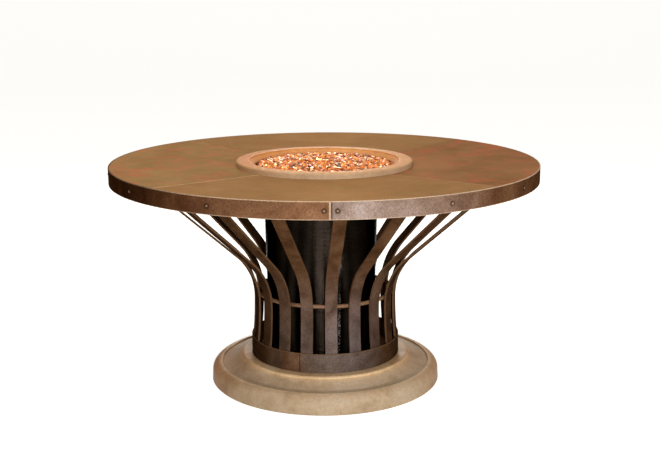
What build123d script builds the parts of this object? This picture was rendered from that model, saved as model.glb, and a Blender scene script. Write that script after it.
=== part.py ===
from build123d import *
from math import cos, pi, radians, sin, sqrt, tan
import os

# A round gas fire table: a cast concrete foot, a basket of bent flat bars, and a round top with a
# metal hoop and a concrete fire bowl. Millimetres, +Z up, floor at z = 0, the middle of the foot at
# the origin, the front of the table towards -Y.

os.makedirs("parts", exist_ok=True)

# Overall
table_diameter = 1371.6
table_height = 726.0
loose_fit = 0.3
weld_fit = 0.2
hole_fit = 0.2
seat_fit = 0.05

# Foot casting
foot_radius = 377.0
foot_bottom_chamfer = 4.0
foot_side_draft = 1.5
foot_bullnose_radius = 27.0
foot_ridge_inset = 34.0
foot_ridge_height = 61.0
foot_step = 4.0
cove_bulge = 5.0
collar_margin = 33.6
collar_rounding = 7.0
foot_height = 89.0
foot_hole_inset = 167.4

# Ring on the foot
ring_radius = 243.4
ring_thickness = 4.0
ring_height = 62.0
ring_joint_gap = 0.8
ring_joint_angle = -19.3
lug_width = 28.0
lug_length = 44.0
lug_thickness = 5.0
lug_lap = 2.0
lug_count = 4

# Basket straps
strap_count = 19
strap_phase = 4.7
strap_width = 38.1
strap_thickness = 6.35
waist_inset = 6.4
foot_bend_rise = 61.0
waist_bend_radius = 200.0
flare_turn = 48.0
strap_end_inset = 19.3

# Waist hoop
hoop_rod_radius = 6.35
hoop_rise = 20.0

# Liner drum
drum_top_inset = 59.4
drum_foot_inset = 70.4
drum_x = -12.0
drum_wall = 2.0
drum_top_gap = 14.0
drum_flange_width = 28.0
hose_notch_width = 98.0
hose_notch_depth = 66.0
hose_notch_x = -4.0

# Top
top_dish = 12.7
panel_thickness = 12.0
panel_seam = 1.5
panel_chamfer = 0.8
board_thickness = 25.0
frame_thickness = 6.0
top_ring_inset = 85.8
top_ring_width = 70.0
bowl_ring_width = 38.0
arm_size = 25.4
arm_wall = 2.5
arm_lap = 6.0
arm_count = 4
arm_phase = 45.0

# Edge hoop
band_height = 50.8
band_thickness = 3.2
band_joint_gap = 0.8
band_joint_angle = 1.4
band_edge_fillet = 0.8
band_screw_count = 14
band_screw_offset = 1.5
band_screw_drop = 26.0
band_screw_head_radius = 5.2
band_screw_head_height = 2.6
band_screw_shank_radius = 2.0
band_screw_length = 22.0

# Fire bowl
bowl_rim_radius = 283.5
bowl_rim_height = 17.5
bowl_rim_rounding = 5.0
bowl_rim_lap = 21.5
bowl_mouth_inset = 43.5
bowl_mouth_rounding = 4.0
bowl_slope_inset = 57.5
bowl_slope_drop = 15.0
ledge_inset = 71.5
ledge_width = 22.0
ledge_drop = 26.0
plenum_top_inset = 4.0
plenum_floor_inset = 133.5
bowl_neck_gap = 4.0
bowl_neck_length = 34.0
bowl_base_inset = 115.5
bowl_depth = 124.0
bowl_floor_thickness = 26.0
bowl_drain_radius = 60.0

# Burner
pan_ledge_gap = 2.0
pan_thickness = 2.0
burner_ring_radius = 125.0
burner_tube_radius = 8.0
burner_tube_bore = 6.5
burner_tube_sides = 12
cross_tube_radius = 6.0
cross_tube_bore = 4.5
cross_tube_cope = 4.0
burner_tube_lift = 14.0
burner_port_radius = 1.2
burner_port_count = 24
hub_radius = 14.0
hub_height = 24.0
feed_radius = 7.0
feed_wall = 2.0
feed_elbow_size = 24.0
feed_elbow_drop = 27.0
feed_port_length = 10.0
feed_nut_flats = 27.0
feed_nut_height = 8.0
electrode_x = 72.0
electrode_y = 66.0
electrode_radius = 4.5
electrode_length = 34.0
electrode_tip_radius = 1.3
electrode_tip_length = 12.0
electrode_stub = 6.0
electrode_collar = 2.0

# Fire glass
glass_edge_drop = 11.0
glass_crown = 15.0
glass_clearance = 1.0

# Controls under the rear edge
control_x = -55.0
control_inset = 49.8
control_drop = 39.0
plate_thickness = 2.5
plate_depth = 67.0
plate_left_margin = 37.0
plate_right_margin = 25.0
plate_ring_gap = 6.5
plate_screw_margin = 12.0
valve_width = 60.0
valve_depth = 40.0
valve_height = 30.0
valve_corner = 3.0
port_spread = 18.0
port_length = 16.0
port_radius = 8.0
bushing_radius = 9.0
bushing_length = 10.0
stem_radius = 3.5
stem_depth = 34.0
stem_reach = 24.0
knob_radius = 19.0
knob_length = 22.0
knob_gap = 1.0
knob_bore_fit = 0.1
knob_edge_fillet = 2.0
knob_grip_width = 9.0
knob_grip_height = 10.0
knob_grip_corner = 3.0
nut_flats = 22.0
nut_height = 3.5
igniter_spacing = 58.0
igniter_radius = 11.0
igniter_length = 66.0
button_radius = 6.0
button_head_radius = 8.4
button_head_height = 5.0
button_edge_fillet = 1.5
button_travel = 4.0
button_depth = 40.0

# Gas inlet
inlet_y = 45.0
inlet_bar_length = 216.0
inlet_bar_width = 36.0
inlet_bar_thickness = 4.0
inlet_bar_corner = 4.0
inlet_hex_flats = 24.0
inlet_hex_height = 18.0
inlet_stub_radius = 7.94
inlet_stub_length = 18.0
inlet_shank_radius = 9.0
inlet_barb_radius = 6.0
inlet_barb_length = 12.0

# Hoses
hose_radius = 6.35
lead_radius = 2.0
hose_bracket_inset = 55.0
hose_bracket_thickness = 4.0
hose_bracket_drop = 50.0
hose_bracket_margin = 18.0
hose_bracket_foot = 22.0

# Fasteners
lag_radius = 4.0
lag_length = 16.0
lag_head_flats = 13.0
lag_head_height = 5.5
frame_screw_count = 10
bowl_screw_count = 4
anchor_length = 50.0
pan_screw_radius = 2.4
pan_screw_length = 14.0
pan_screw_head_radius = 4.7
pan_screw_head_height = 3.0
pan_screw_head_taper = 12.0
drum_screw_count = 4
drum_screw_phase = 45.0

# Worked-out places
top_radius = table_diameter / 2
inner_band_radius = top_radius - band_thickness
board_radius = inner_band_radius - loose_fit
board_top = table_height - panel_thickness
board_bottom = board_top - board_thickness
frame_bottom = board_bottom - frame_thickness
ring_inner = ring_radius - ring_thickness
foot_ridge_radius = foot_radius - foot_ridge_inset
collar_radius = ring_radius + collar_margin
foot_hole_radius = ring_radius - foot_hole_inset
foot_bend_height = foot_height + foot_bend_rise
top_ring_radius = top_radius - top_ring_inset
strap_foot = sqrt(ring_inner**2 - (strap_width / 2) ** 2) - weld_fit
strap_waist = strap_foot - waist_inset
strap_pitch = 360 / strap_count
bowl_hole_radius = bowl_rim_radius - bowl_rim_lap
bowl_neck_radius = bowl_hole_radius - bowl_neck_gap
bowl_mouth_radius = bowl_rim_radius - bowl_mouth_inset
bowl_slope_radius = bowl_rim_radius - bowl_slope_inset
plenum_floor_radius = bowl_rim_radius - plenum_floor_inset
bowl_base_radius = bowl_rim_radius - bowl_base_inset
bowl_base_height = table_height - bowl_depth
top_fall = top_dish / (board_radius - bowl_rim_radius)
bowl_seat = table_height - top_dish
bowl_rim_top = bowl_seat + bowl_rim_height
ledge_radius = bowl_rim_radius - ledge_inset
ledge_height = bowl_seat - ledge_drop
pan_radius = ledge_radius - pan_ledge_gap
pan_top = ledge_height + pan_thickness
feed_elbow_height = bowl_base_height - feed_elbow_drop
drum_top_radius = ring_radius - drum_top_inset
drum_foot_radius = ring_radius - drum_foot_inset
drum_top_height = bowl_base_height - drum_top_gap
hose_bracket_y = top_ring_radius - hose_bracket_inset
control_y = top_radius - control_inset
control_z = board_bottom - control_drop
plate_flange_end = top_ring_radius + plate_ring_gap
igniter_x = control_x + igniter_spacing
plate_left = control_x - plate_left_margin
plate_right = igniter_x + plate_right_margin
collar_shoulder = foot_height - collar_rounding


def facing(angle, radius, z):
    """A place at a radius, at an angle from the front (-Y) towards +X."""
    return (radius * sin(radians(angle)), -radius * cos(radians(angle)), z)


def surface(radius):
    """The height of the slightly dished top at a radius."""
    return table_height - top_fall * (board_radius - radius)


def outward(angle, radius, z):
    """The plane whose normal points out from the middle of the table."""
    return Plane(origin=facing(angle, radius, z), x_dir=(0, 0, 1), z_dir=facing(angle, 1, 0))


def strap_gap_angle(number, count):
    """The middle of the gap between straps that comes nearest below number / count of a turn."""
    return strap_phase + strap_pitch * (strap_count * number // count + 0.5)


def save(part, name):
    part.label = name
    export_step(part, f"parts/{name}.step")


def add_pan_screw(x, y, z, up):
    """One pan-head screw whose head seats at z and whose shank runs up or down."""
    turn = 1 if up else -1
    seat = Plane(origin=(x, y, z), z_dir=(0, 0, turn))
    with BuildSketch(seat) as shank:
        Circle(pan_screw_radius)
    extrude(shank.sketch, amount=pan_screw_length)
    with BuildSketch(seat) as head:
        Circle(pan_screw_head_radius)
    extrude(head.sketch, amount=-pan_screw_head_height, taper=pan_screw_head_taper)


def cut_screw_hole(x, y, z, length, radius):
    """A round hole that runs down from z."""
    with BuildSketch(Plane.XY.offset(z)) as mouth:
        with Locations((x, y)):
            Circle(radius + hole_fit)
    extrude(mouth.sketch, amount=-length, mode=Mode.SUBTRACT)


def route_radii(points):
    """The bend radius at each inner point of a hose's route."""
    vectors = [Vector(*point) for point in points]
    radii = []
    for before, corner, after in zip(vectors, vectors[1:], vectors[2:]):
        turn = (corner - before).get_angle(after - corner)
        shorter = min((corner - before).length, (after - corner).length)
        radii.append(0.45 * shorter / tan(radians(turn / 2)))
    return radii


# Where the screws go
lug_angles = [strap_gap_angle(k, lug_count) for k in range(lug_count)]
lug_inner = ring_inner - lug_length
anchor_radius = lug_inner + lag_head_flats
frame_screw_angles = [strap_gap_angle(k, frame_screw_count) for k in range(frame_screw_count)]
frame_screw_radius = top_ring_radius - top_ring_width / 2
bowl_screw_angles = [360 / bowl_screw_count * k for k in range(bowl_screw_count)]
bowl_screw_radius = bowl_hole_radius + bowl_ring_width / 2
drum_flange_radius = drum_foot_radius - drum_wall - drum_flange_width / 2
drum_screw_angles = [drum_screw_phase + 360 / drum_screw_count * k for k in range(drum_screw_count)]
drum_screw_places = [
    (drum_x + facing(angle, drum_flange_radius, 0)[0], facing(angle, drum_flange_radius, 0)[1])
    for angle in drum_screw_angles
]
inlet_screw_x = inlet_bar_length / 2 - inlet_bar_width / 2
inlet_screw_places = [(-inlet_screw_x, inlet_y), (inlet_screw_x, inlet_y)]
plate_screw_y = (control_y + plate_flange_end) / 2
plate_screw_places = [
    (plate_left + plate_screw_margin, plate_screw_y),
    (plate_right - plate_screw_margin, plate_screw_y),
]
outlet_x = control_x + port_spread
supply_x = control_x - port_spread
bracket_left = supply_x - hose_bracket_margin
bracket_right = igniter_x + hose_bracket_margin
bracket_screw_y = hose_bracket_y - hose_bracket_foot / 2
bracket_screw_places = [
    ((outlet_x + supply_x) / 2, bracket_screw_y),
    ((outlet_x + igniter_x) / 2, bracket_screw_y),
]
band_angles = [
    band_joint_angle + band_screw_offset + (360 - 2 * band_screw_offset) / (band_screw_count - 1) * k
    for k in range(band_screw_count)
]
band_screw_z = table_height - band_screw_drop

# The cast concrete foot
with BuildPart() as foot:
    with BuildSketch(Plane.XZ):
        with BuildLine():
            side = foot_radius - foot_side_draft
            nose = foot_ridge_height - foot_bullnose_radius
            Polyline(
                (foot_hole_radius, foot_height),
                (foot_hole_radius, 0),
                (foot_radius - foot_bottom_chamfer, 0),
                (foot_radius, foot_bottom_chamfer),
                (side, nose),
            )
            EllipticalCenterArc(
                (foot_ridge_radius, nose),
                side - foot_ridge_radius,
                foot_bullnose_radius,
                start_angle=0,
                arc_size=90,
            )
            step_foot = (foot_ridge_radius, foot_ridge_height - foot_step)
            Line((foot_ridge_radius, foot_ridge_height), step_foot)
            SagittaArc(step_foot, (collar_radius, collar_shoulder), cove_bulge)
            collar_in = (collar_radius - collar_rounding, foot_height)
            RadiusArc((collar_radius, collar_shoulder), collar_in, -collar_rounding)
            Line(collar_in, (foot_hole_radius, foot_height))
        make_face()
    revolve(axis=Axis.Z)
    for angle in lug_angles:
        x, y, z = facing(angle, anchor_radius, foot_height)
        cut_screw_hole(x, y, z, anchor_length, lag_radius)
    for x, y in drum_screw_places + inlet_screw_places:
        cut_screw_hole(x, y, foot_height, pan_screw_length, pan_screw_radius)
save(foot.part, "base_casting")

# The rolled ring on the foot, with its butt joint and four welded lugs
with BuildPart() as ring:
    with BuildSketch(Plane.XY.offset(foot_height)):
        Circle(ring_radius)
        Circle(ring_inner, mode=Mode.SUBTRACT)
        with Locations(facing(ring_joint_angle, (ring_radius + ring_inner) / 2, 0)[:2]):
            Rectangle(3 * ring_thickness, ring_joint_gap, rotation=ring_joint_angle - 90,
                      mode=Mode.SUBTRACT)
    extrude(amount=ring_height)
    with BuildSketch(Plane.XY.offset(foot_height)):
        for angle in lug_angles:
            with Locations(facing(angle, ring_inner - lug_length / 2 + lug_lap / 2, 0)[:2]):
                Rectangle(lug_length + lug_lap, lug_width, rotation=angle - 90)
            with Locations(facing(angle, anchor_radius, 0)[:2]):
                Circle(lag_radius + hole_fit, mode=Mode.SUBTRACT)
    extrude(amount=lug_thickness)
save(ring.part, "base_ring")

# Bolts from the lugs into the foot
with BuildPart() as anchors:
    for angle in lug_angles:
        x, y, z = facing(angle, anchor_radius, foot_height + lug_thickness)
        with BuildSketch(Plane(origin=(x, y, z))):
            RegularPolygon(lag_head_flats / 2, 6, major_radius=False)
        extrude(amount=lag_head_height)
        with BuildSketch(Plane(origin=(x, y, z))):
            Circle(lag_radius)
        extrude(amount=-anchor_length)
save(anchors.part, "anchor_bolts")

# The bent flat bars of the basket
waist_centre = strap_waist + waist_bend_radius
flare_slope = tan(radians(90 - flare_turn))
strap_top = frame_bottom
strap_end = top_ring_radius - strap_end_inset
flare_start_r = waist_centre - waist_bend_radius * cos(radians(flare_turn))
flare_start_z = strap_top - (strap_end - flare_start_r) * flare_slope
waist_height = flare_start_z - waist_bend_radius * sin(radians(flare_turn))
foot_rise = waist_height - foot_bend_height
foot_bend_radius = (foot_rise**2 + waist_inset**2) / (2 * waist_inset)
inner_bend_radius = waist_bend_radius + strap_thickness
inner_start_r = waist_centre - inner_bend_radius * cos(radians(flare_turn))
inner_start_z = waist_height + inner_bend_radius * sin(radians(flare_turn))
strap_end_inner = inner_start_r + (strap_top - inner_start_z) / flare_slope
strap_waist_inner = strap_waist - strap_thickness
strap_foot_inner = strap_foot - strap_thickness
mid_turn = flare_turn / 2

for number in range(strap_count):
    radial = facing(strap_phase + strap_pitch * number, 1, 0)
    strap_plane = Plane(origin=(0, 0, 0), x_dir=radial, z_dir=Vector(*radial).cross(Vector(0, 0, 1)))
    with BuildPart() as strap:
        with BuildSketch(strap_plane):
            with BuildLine():
                Line((strap_foot, foot_height), (strap_foot, foot_bend_height))
                RadiusArc((strap_foot, foot_bend_height), (strap_waist, waist_height), foot_bend_radius)
                ThreePointArc(
                    (strap_waist, waist_height),
                    (
                        waist_centre - waist_bend_radius * cos(radians(mid_turn)),
                        waist_height + waist_bend_radius * sin(radians(mid_turn)),
                    ),
                    (flare_start_r, flare_start_z),
                )
                Polyline(
                    (flare_start_r, flare_start_z),
                    (strap_end, strap_top),
                    (strap_end_inner, strap_top),
                    (inner_start_r, inner_start_z),
                )
                ThreePointArc(
                    (inner_start_r, inner_start_z),
                    (
                        waist_centre - inner_bend_radius * cos(radians(mid_turn)),
                        waist_height + inner_bend_radius * sin(radians(mid_turn)),
                    ),
                    (strap_waist_inner, waist_height),
                )
                RadiusArc(
                    (strap_waist_inner, waist_height),
                    (strap_foot_inner, foot_bend_height),
                    -foot_bend_radius,
                )
                Polyline(
                    (strap_foot_inner, foot_bend_height),
                    (strap_foot_inner, foot_height),
                    (strap_foot, foot_height),
                )
            make_face()
        extrude(amount=strap_width / 2, both=True)
    save(strap.part, f"strap_{number + 1:02d}")

# The round rod hoop inside the straps, laid against their inner bend
hoop_reach = inner_bend_radius + hoop_rod_radius + weld_fit
hoop_radius = waist_centre - sqrt(hoop_reach**2 - hoop_rise**2)
with BuildPart() as hoop:
    with BuildSketch(Plane.XZ):
        with Locations((hoop_radius, waist_height + hoop_rise)):
            Circle(hoop_rod_radius)
    revolve(axis=Axis.Z)
save(hoop.part, "waist_ring")

# The liner drum, a slightly tapered tube with an inner foot flange and a notch for the hoses
drum_axis = Axis((drum_x, 0, 0), (0, 0, 1))
with BuildPart() as drum:
    with BuildSketch(Plane.XZ):
        with BuildLine():
            flange_edge = drum_x + drum_foot_radius - drum_wall - drum_flange_width
            Polyline(
                (drum_x + drum_foot_radius, foot_height),
                (drum_x + drum_top_radius, drum_top_height),
                (drum_x + drum_top_radius - drum_wall, drum_top_height),
                (drum_x + drum_foot_radius - drum_wall, foot_height + drum_wall),
                (flange_edge, foot_height + drum_wall),
                (flange_edge, foot_height),
                close=True,
            )
        make_face()
    revolve(axis=drum_axis)
    with BuildSketch(Plane.XZ):
        with Locations((hose_notch_x, drum_top_height)):
            Rectangle(hose_notch_width, 2 * hose_notch_depth)
    extrude(amount=-drum_top_radius - drum_wall, mode=Mode.SUBTRACT)
    for x, y in drum_screw_places:
        cut_screw_hole(x, y, foot_height + drum_wall, drum_wall, pan_screw_radius)
save(drum.part, "liner_drum")

# The plate ring on the ends of the straps
with BuildPart() as top_ring:
    with BuildSketch(Plane.XY.offset(frame_bottom)):
        Circle(top_ring_radius)
        Circle(top_ring_radius - top_ring_width, mode=Mode.SUBTRACT)
        for angle in frame_screw_angles:
            with Locations(facing(angle, frame_screw_radius, 0)[:2]):
                Circle(lag_radius + hole_fit, mode=Mode.SUBTRACT)
        with Locations(bracket_screw_places):
            Circle(pan_screw_radius + hole_fit, mode=Mode.SUBTRACT)
    extrude(amount=frame_thickness)
save(top_ring.part, "top_ring")

# The inner ring and its four arms of square tube, welded as one frame under the bowl
arm_start = bowl_hole_radius + arm_lap
arm_end = top_ring_radius - top_ring_width + arm_lap
with BuildPart() as bowl_frame:
    with BuildSketch(Plane.XY.offset(frame_bottom)):
        Circle(bowl_hole_radius + bowl_ring_width)
        Circle(bowl_hole_radius, mode=Mode.SUBTRACT)
        for angle in bowl_screw_angles:
            with Locations(facing(angle, bowl_screw_radius, 0)[:2]):
                Circle(lag_radius + hole_fit, mode=Mode.SUBTRACT)
    extrude(amount=frame_thickness)
    for number in range(arm_count):
        angle = arm_phase + 360 / arm_count * number
        with BuildSketch(outward(angle, arm_start, frame_bottom - arm_size / 2)):
            Rectangle(arm_size, arm_size)
            Rectangle(arm_size - 2 * arm_wall, arm_size - 2 * arm_wall, mode=Mode.SUBTRACT)
        extrude(amount=arm_end - arm_start)
save(bowl_frame.part, "bowl_frame")

# The board under the panels, planed to a slight fall towards the bowl
with BuildPart() as board:
    with BuildSketch(Plane.XZ):
        with BuildLine():
            Polyline(
                (bowl_hole_radius, board_bottom),
                (board_radius, board_bottom),
                (board_radius, board_top),
                (bowl_hole_radius, surface(bowl_hole_radius) - panel_thickness),
                close=True,
            )
        make_face()
    revolve(axis=Axis.Z)
    lag_depth = lag_length - frame_thickness
    for angle in frame_screw_angles:
        x, y, z = facing(angle, frame_screw_radius, board_bottom + lag_depth)
        cut_screw_hole(x, y, z, lag_depth, lag_radius)
    for angle in bowl_screw_angles:
        x, y, z = facing(angle, bowl_screw_radius, board_bottom + lag_depth)
        cut_screw_hole(x, y, z, lag_depth, lag_radius)
    for x, y in plate_screw_places:
        depth = pan_screw_length - plate_thickness
        cut_screw_hole(x, y, board_bottom + depth, depth, pan_screw_radius)
    for x, y in bracket_screw_places:
        depth = pan_screw_length - hose_bracket_thickness - frame_thickness
        cut_screw_hole(x, y, board_bottom + depth, depth, pan_screw_radius)
    for angle in band_angles:
        with BuildSketch(outward(angle, top_radius, band_screw_z)):
            Circle(band_screw_shank_radius + hole_fit)
        extrude(amount=-band_screw_length, mode=Mode.SUBTRACT)
save(board.part, "support_board")

# The four quarter panels of the top
corner_shift = panel_seam / sqrt(2)
for name, bisector in (("front", -90), ("right", 0), ("rear", 90), ("left", 180)):
    with BuildPart() as panel:
        with BuildSketch(Plane.XZ):
            with BuildLine():
                Polyline(
                    (bowl_hole_radius, surface(bowl_hole_radius) - panel_thickness),
                    (board_radius, board_top),
                    (board_radius, table_height),
                    (bowl_hole_radius, surface(bowl_hole_radius)),
                    close=True,
                )
            make_face()
        revolve(axis=Axis.Z)
        with BuildSketch(Plane.XY.offset(board_bottom)):
            with Locations((corner_shift * cos(radians(bisector)), corner_shift * sin(radians(bisector)))):
                Rectangle(top_radius, top_radius, rotation=bisector - 45, align=(Align.MIN, Align.MIN))
        extrude(amount=board_thickness + panel_thickness, mode=Mode.INTERSECT)
        upper = panel.faces().sort_by(SortBy.AREA)[-2:].sort_by(Axis.Z)[-1]
        chamfer(upper.edges(), panel_chamfer)
    save(panel.part, f"top_panel_{name}")

# The flat-bar hoop round the top
with BuildPart() as band:
    with BuildSketch(Plane.XY.offset(table_height - band_height)):
        Circle(top_radius)
        Circle(inner_band_radius, mode=Mode.SUBTRACT)
        with Locations(facing(band_joint_angle, top_radius, 0)[:2]):
            Rectangle(3 * band_thickness, band_joint_gap, rotation=band_joint_angle - 90,
                      mode=Mode.SUBTRACT)
    extrude(amount=band_height)
    fillet(band.faces().sort_by(SortBy.AREA)[-1].edges().filter_by(GeomType.CIRCLE), band_edge_fillet)
    for angle in band_angles:
        with BuildSketch(outward(angle, top_radius, band_screw_z)):
            Circle(band_screw_shank_radius + hole_fit)
        extrude(amount=-3 * band_thickness, both=True, mode=Mode.SUBTRACT)
save(band.part, "edge_band")

# The domed screws of the hoop
dome_radius = (band_screw_head_radius**2 + band_screw_head_height**2) / (2 * band_screw_head_height)
with BuildPart() as band_screw:
    with BuildSketch(Plane.XZ):
        with BuildLine():
            RadiusArc((0, band_screw_head_height), (band_screw_head_radius, 0), dome_radius)
            Polyline(
                (band_screw_head_radius, 0),
                (band_screw_shank_radius, 0),
                (band_screw_shank_radius, -band_screw_length),
                (0, -band_screw_length),
                (0, band_screw_head_height),
            )
        make_face()
    revolve(axis=Axis.Z)
with BuildPart() as band_screws:
    for angle in band_angles:
        seat = outward(angle, top_radius + seat_fit, band_screw_z)
        add(band_screw.part.moved(seat.location))
save(band_screws.part, "band_screws")

# Hex screws from the two rings up into the board
with BuildPart() as frame_screws:
    places = [facing(angle, frame_screw_radius, frame_bottom) for angle in frame_screw_angles]
    places += [facing(angle, bowl_screw_radius, frame_bottom) for angle in bowl_screw_angles]
    for place in places:
        with BuildSketch(Plane(origin=place)):
            RegularPolygon(lag_head_flats / 2, 6, major_radius=False)
        extrude(amount=-lag_head_height)
        with BuildSketch(Plane(origin=place)):
            Circle(lag_radius)
        extrude(amount=lag_length)
save(frame_screws.part, "frame_screws")

# The cast concrete fire bowl, hung by its rim in the hole of the top
with BuildPart() as bowl:
    with BuildSketch(Plane.XZ):
        with BuildLine():
            neck_foot = bowl_seat - bowl_neck_length
            floor_top = bowl_base_height + bowl_floor_thickness
            rim_in = bowl_rim_radius - bowl_rim_rounding
            mouth_out = bowl_mouth_radius + bowl_mouth_rounding
            RadiusArc((rim_in, bowl_rim_top), (bowl_rim_radius, bowl_rim_top - bowl_rim_rounding),
                      bowl_rim_rounding)
            Polyline(
                (bowl_rim_radius, bowl_rim_top - bowl_rim_rounding),
                (bowl_rim_radius, bowl_seat),
                (bowl_neck_radius, surface(bowl_neck_radius)),
                (bowl_neck_radius, neck_foot),
                (bowl_base_radius, bowl_base_height),
                (bowl_drain_radius, bowl_base_height),
                (bowl_drain_radius, floor_top),
                (plenum_floor_radius, floor_top),
                (ledge_radius - ledge_width, ledge_height - plenum_top_inset),
                (ledge_radius - ledge_width, ledge_height),
                (ledge_radius, ledge_height),
                (bowl_slope_radius, bowl_rim_top - bowl_slope_drop),
                (bowl_mouth_radius, bowl_rim_top - bowl_mouth_rounding),
            )
            RadiusArc((bowl_mouth_radius, bowl_rim_top - bowl_mouth_rounding), (mouth_out, bowl_rim_top),
                      bowl_mouth_rounding)
            Line((mouth_out, bowl_rim_top), (rim_in, bowl_rim_top))
        make_face()
    revolve(axis=Axis.Z)
save(bowl.part, "fire_bowl")

# The steel pan on the bowl's ledge
with BuildPart() as pan:
    with BuildSketch(Plane.XY.offset(ledge_height)):
        Circle(pan_radius)
        Circle(feed_radius + hole_fit, mode=Mode.SUBTRACT)
        with Locations((electrode_x, electrode_y)):
            Circle(electrode_radius + hole_fit, mode=Mode.SUBTRACT)
    extrude(amount=pan_thickness)
save(pan.part, "burner_pan")

# The ring burner with its cross tube and hub
tube_height = pan_top + burner_tube_lift
with BuildPart() as burner:
    with BuildSketch(Plane.XZ):
        with Locations((burner_ring_radius, tube_height)):
            RegularPolygon(burner_tube_radius, burner_tube_sides)
            RegularPolygon(burner_tube_bore, burner_tube_sides, mode=Mode.SUBTRACT)
    revolve(axis=Axis.Z)
    with BuildSketch(Plane.XZ):
        with Locations((0, tube_height)):
            Circle(cross_tube_radius)
    extrude(amount=burner_ring_radius - cross_tube_cope, both=True)
    with BuildSketch(Plane.XY.offset(pan_top)):
        Circle(hub_radius)
    extrude(amount=hub_height)
    with BuildSketch(Plane.XZ):
        with Locations((0, tube_height)):
            Circle(cross_tube_bore)
    extrude(amount=burner_ring_radius, both=True, mode=Mode.SUBTRACT)
    with BuildSketch(Plane.XY.offset(pan_top)):
        Circle(feed_radius - feed_wall)
    extrude(amount=burner_tube_lift, mode=Mode.SUBTRACT)
    with BuildSketch(Plane.XY.offset(tube_height)):
        with PolarLocations(burner_ring_radius, burner_port_count, start_angle=180 / burner_port_count):
            Circle(burner_port_radius)
    extrude(amount=2 * burner_tube_radius, mode=Mode.SUBTRACT)
save(burner.part, "burner_ring")

# The feed pipe below the hub, with its elbow and side port
elbow_top = feed_elbow_height + feed_elbow_size / 2
feed_port_end = feed_elbow_size / 2 + feed_port_length
with BuildPart() as feed:
    with BuildSketch(Plane.XY.offset(feed_elbow_height - feed_elbow_size / 2)):
        RectangleRounded(feed_elbow_size, feed_elbow_size, feed_wall)
    extrude(amount=feed_elbow_size)
    with BuildSketch(Plane.XY.offset(elbow_top)):
        Circle(feed_radius)
    extrude(amount=pan_top - elbow_top)
    with BuildSketch(Plane.XZ):
        with Locations((0, feed_elbow_height)):
            Circle(hose_radius)
    extrude(amount=-feed_port_end)
    with BuildSketch(Plane.XY.offset(pan_top)):
        Circle(feed_radius - feed_wall)
    extrude(amount=feed_elbow_height - pan_top, mode=Mode.SUBTRACT)
save(feed.part, "burner_feed")

# The nut that clamps the feed pipe under the pan
with BuildPart() as feed_nut:
    with BuildSketch(Plane.XY.offset(ledge_height)):
        RegularPolygon(feed_nut_flats / 2, 6, major_radius=False)
        Circle(feed_radius + hole_fit, mode=Mode.SUBTRACT)
    extrude(amount=-feed_nut_height)
save(feed_nut.part, "burner_nut")

# The spark electrode: a ceramic sleeve with a wire tip
electrode_foot = ledge_height - electrode_length + burner_tube_lift
with BuildPart() as electrode:
    with BuildSketch(Plane(origin=(electrode_x, electrode_y, electrode_foot))):
        Circle(electrode_radius)
    extrude(amount=electrode_length)
    with BuildSketch(Plane(origin=(electrode_x, electrode_y, pan_top))):
        Circle(electrode_radius + electrode_collar)
    extrude(amount=electrode_collar)
    with BuildSketch(Plane(origin=(electrode_x, electrode_y, electrode_foot + electrode_length))):
        Circle(electrode_tip_radius)
    extrude(amount=electrode_tip_length)
    with BuildSketch(Plane(origin=(electrode_x, electrode_y, electrode_foot))):
        Circle(lead_radius)
    extrude(amount=-electrode_stub)
save(electrode.part, "spark_electrode")

# The bed of fire glass, crowned in the middle, lying round the burner
glass_edge_z = bowl_rim_top - glass_edge_drop
slope_foot_z = bowl_rim_top - bowl_slope_drop
mouth_slope = (bowl_mouth_radius - bowl_slope_radius) / (bowl_slope_drop - bowl_mouth_rounding)
glass_edge_r = bowl_slope_radius + (glass_edge_z - slope_foot_z) * mouth_slope - loose_fit
glass_top_z = glass_edge_z + glass_crown
crown_radius = (glass_edge_r**2 + glass_crown**2) / (2 * glass_crown)
glass_cut = burner_tube_radius + glass_clearance
with BuildPart() as glass:
    with BuildSketch(Plane.XZ):
        with BuildLine():
            Polyline(
                (0, glass_top_z),
                (0, pan_top),
                (pan_radius - glass_clearance, pan_top),
                (bowl_slope_radius - glass_clearance, slope_foot_z),
                (glass_edge_r, glass_edge_z),
            )
            RadiusArc((glass_edge_r, glass_edge_z), (0, glass_top_z), -crown_radius)
        make_face()
    revolve(axis=Axis.Z)
    with BuildSketch(Plane.XZ):
        with Locations((burner_ring_radius, tube_height)):
            Circle(glass_cut)
    revolve(axis=Axis.Z, mode=Mode.SUBTRACT)
    with BuildSketch(Plane.XZ):
        with Locations((0, tube_height)):
            Circle(cross_tube_radius + glass_clearance)
    extrude(amount=burner_ring_radius, both=True, mode=Mode.SUBTRACT)
    with BuildSketch(Plane.XY.offset(pan_top)):
        Circle(hub_radius + glass_clearance)
    extrude(amount=hub_height + glass_clearance, mode=Mode.SUBTRACT)
    with BuildSketch(Plane.XY.offset(pan_top)):
        with Locations((electrode_x, electrode_y)):
            Circle(electrode_radius + electrode_collar + glass_clearance)
    extrude(amount=burner_tube_lift + electrode_tip_length, mode=Mode.SUBTRACT)
save(glass.part, "fire_glass")

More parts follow.
